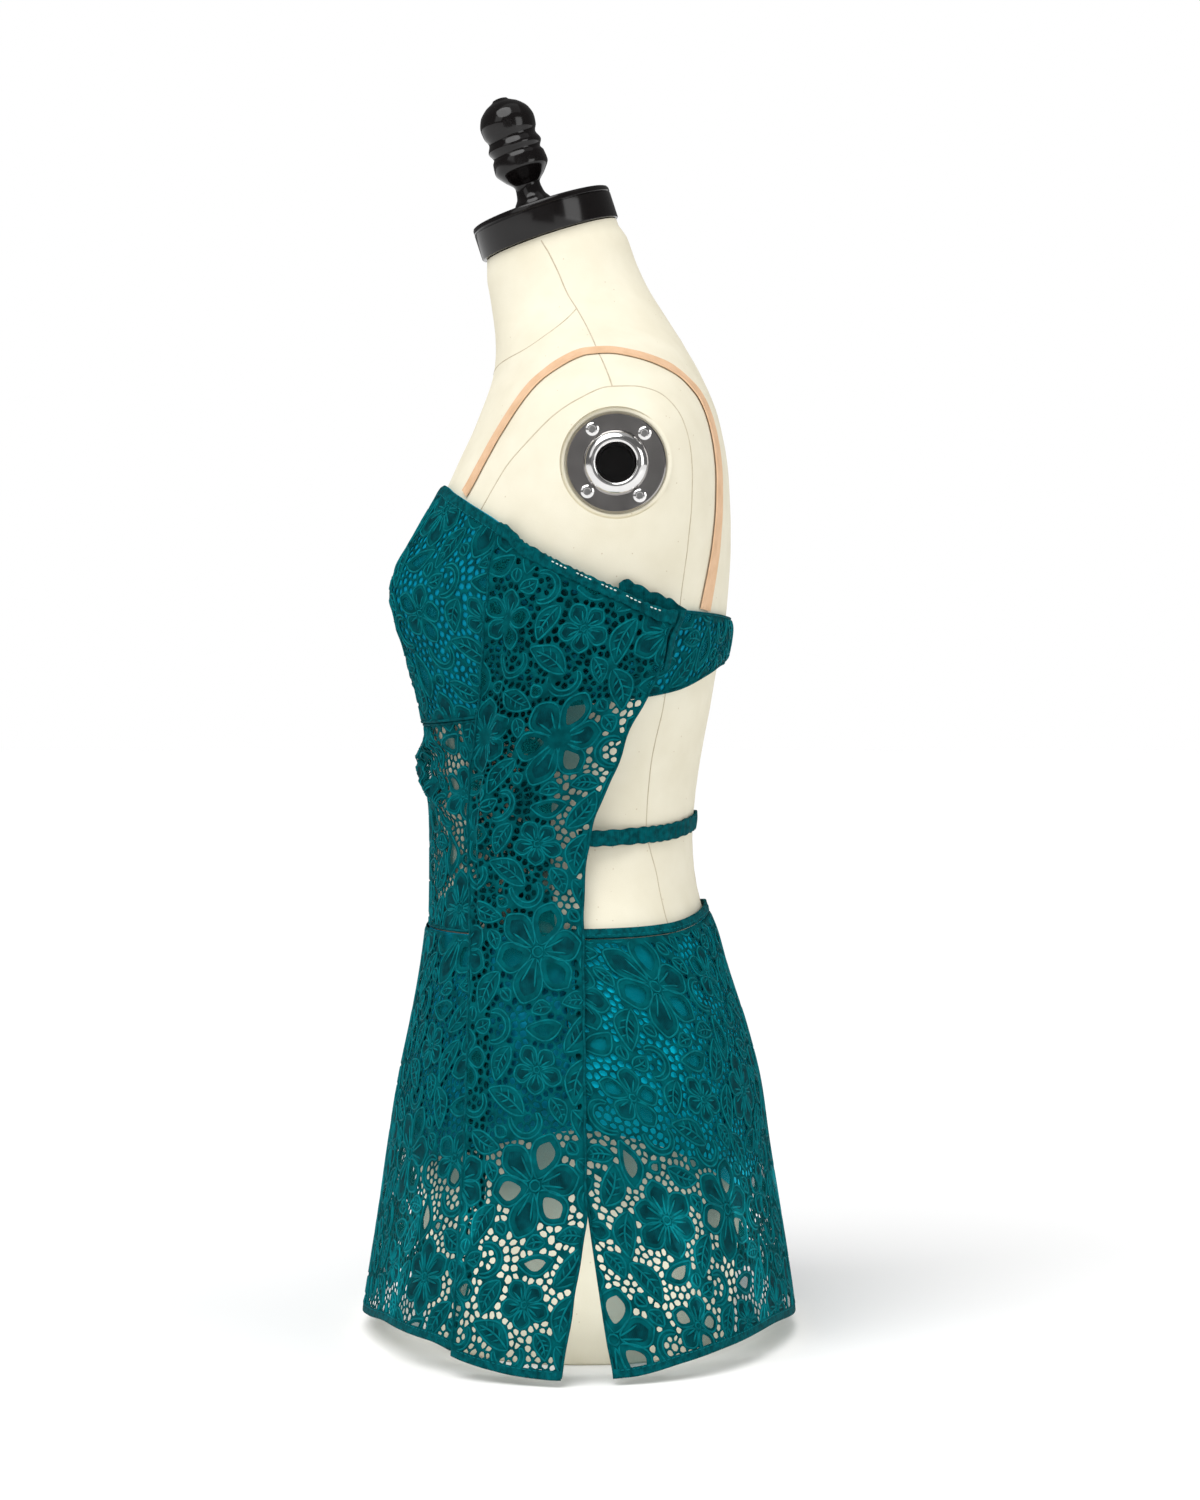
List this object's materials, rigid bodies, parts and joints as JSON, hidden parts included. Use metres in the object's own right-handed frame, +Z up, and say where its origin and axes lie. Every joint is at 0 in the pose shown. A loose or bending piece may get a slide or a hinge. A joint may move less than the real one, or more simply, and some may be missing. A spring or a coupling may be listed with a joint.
{
  "type": "lyrical dance costume on a limbless dress form",
  "caption": "Lace dance dress with cups, long side panels, open back and slit skirt, worn by a limbless dress form that stands on its flat base.",
  "frame": {"origin": "on the floor, under the middle of the dress form's flat base", "axes": "+Z up, -Y out of the front of the costume, +X towards the wearer's left"},
  "size_m": [0.4612, 0.2997, 0.8578],
  "materials": {
    "linen": "natural cream linen drawn over a padded form",
    "black_lacquer": "high gloss",
    "polished_steel": "polished, with a darker flange",
    "teal_lace": "corded flower lace with a slight sheen",
    "blue_lining": "smooth stretch knit",
    "skin_elastic": "soft woven elastic"
  },
  "bodies": {
    "root": {"form_torso": "linen", "form_neck_cap": "black_lacquer", "form_finial": "black_lacquer", "armhole_plate_left": "polished_steel", "armhole_plate_right": "polished_steel", "bodice_lining": "blue_lining", "bodice_lace": "teal_lace", "back_band_lining": "blue_lining", "back_band_lace": "teal_lace", "shoulder_strap_left": "skin_elastic", "shoulder_strap_right": "skin_elastic", "midriff_front": "teal_lace", "side_panel_left": "teal_lace", "side_panel_right": "teal_lace", "top_casing_left": "teal_lace", "top_casing_right": "teal_lace", "panel_loop_left": "teal_lace", "panel_loop_right": "teal_lace", "waist_strap": "teal_lace", "skirt_front": "teal_lace", "skirt_back": "teal_lace", "back_waistband": "teal_lace", "brief_front": "blue_lining", "brief_back": "blue_lining"}
  },
  "joints": []
}
